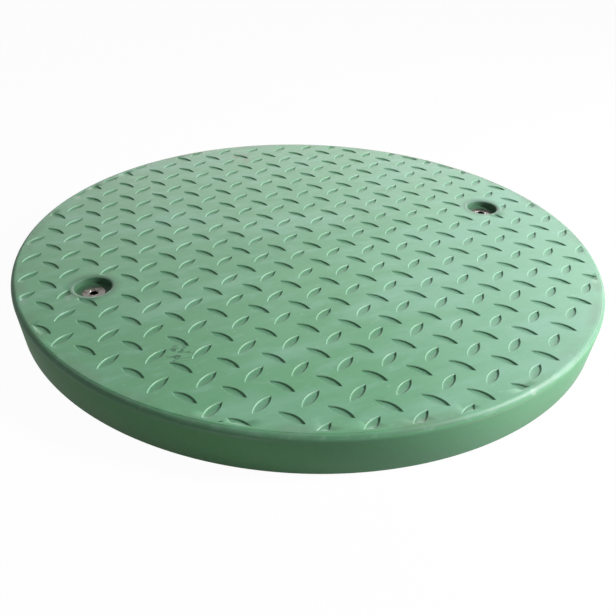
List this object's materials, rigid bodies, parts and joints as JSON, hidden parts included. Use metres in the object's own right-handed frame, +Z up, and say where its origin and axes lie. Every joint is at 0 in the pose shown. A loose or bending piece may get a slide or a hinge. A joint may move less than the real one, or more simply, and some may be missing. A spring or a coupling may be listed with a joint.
{
  "type": "inspection cover",
  "caption": "Round moulded plastic inspection cover with a flat deck, a sunk lens tread, a tapered rim and flat-headed lock screws in round pockets.",
  "frame": {"origin": "middle of the cover on the plane of its seat, where the rim stands in its frame", "axes": "+Z up through the deck, +X along the line of the two lock screws"},
  "size_m": [0.6579, 0.658, 0.045],
  "materials": {
    "green_plastic": "satin moulded plastic, light scuffs",
    "stainless": "turned stainless steel"
  },
  "bodies": {
    "root": {"cover": "green_plastic", "lock_screws": "stainless"}
  },
  "joints": []
}
